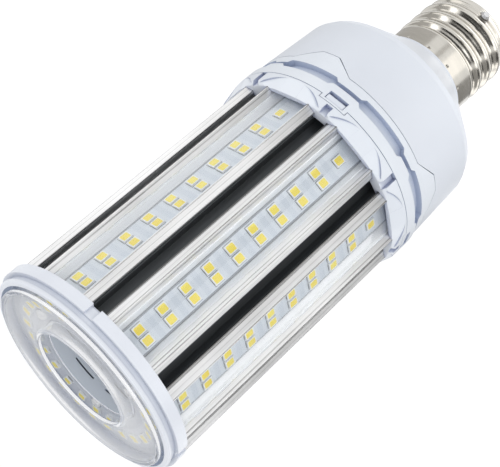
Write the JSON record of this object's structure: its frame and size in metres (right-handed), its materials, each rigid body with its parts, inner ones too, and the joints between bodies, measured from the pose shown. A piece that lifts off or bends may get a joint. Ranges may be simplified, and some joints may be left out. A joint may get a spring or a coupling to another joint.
{
  "type": "corn led bulb",
  "caption": "Corn-style light bulb with a screw base, a vented collar, flat panels of small light chips round a dark core and a clear front lens with a central hole.",
  "frame": {"origin": "centre of the contact tip at the bottom of the screw base", "axes": "+Z along the bulb's axis from the contact tip to the front lens; -Y is the panel that faces the viewer"},
  "size_m": [0.0866, 0.0866, 0.2283],
  "materials": {
    "nickel": "rolled nickel plated shell",
    "insulator": "black moulded",
    "contact": "plated",
    "solder": "dull solder",
    "housing": "white, fine satin",
    "collar": "white, satin",
    "end_ring": "white, satin",
    "cup": "white, satin",
    "core": "black anodised",
    "panel": "satin extruded",
    "board": "white solder mask",
    "chip": "white case with yellow phosphor",
    "clear_plastic": "clear, glossy",
    "driver_board": "circuit board",
    "transformer": "wound core with tape",
    "capacitor": "sleeved can",
    "inductor": "shrink sleeve"
  },
  "bodies": {
    "root": {"arch_ring": "collar", "base_insulator": "insulator", "centre_contact": "contact", "core_tube": "core", "cover_strip_1": "clear_plastic", "cover_strip_2": "clear_plastic", "cover_strip_3": "clear_plastic", "cover_strip_4": "clear_plastic", "cover_strip_5": "clear_plastic", "cover_strip_6": "clear_plastic", "cover_strip_7": "clear_plastic", "cover_strip_8": "clear_plastic", "driver_board": "driver_board", "driver_capacitor": "capacitor", "driver_housing": "housing", "driver_inductor": "inductor", "driver_transformer": "transformer", "end_ring": "end_ring", "front_board": "board", "front_chips": "chip", "front_lens": "clear_plastic", "heat_sink_core": "core", "inner_cup": "cup", "led_board_1": "board", "led_board_2": "board", "led_board_3": "board", "led_board_4": "board", "led_board_5": "board", "led_board_6": "board", "led_board_7": "board", "led_board_8": "board", "led_chips_1": "chip", "led_chips_2": "chip", "led_chips_3": "chip", "led_chips_4": "chip", "led_chips_5": "chip", "led_chips_6": "chip", "led_chips_7": "chip", "led_chips_8": "chip", "panel_profile_1": "panel", "panel_profile_2": "panel", "panel_profile_3": "panel", "panel_profile_4": "panel", "panel_profile_5": "panel", "panel_profile_6": "panel", "panel_profile_7": "panel", "panel_profile_8": "panel", "screw_shell": "nickel", "side_solder": "solder", "vent_collar": "collar"}
  },
  "joints": []
}
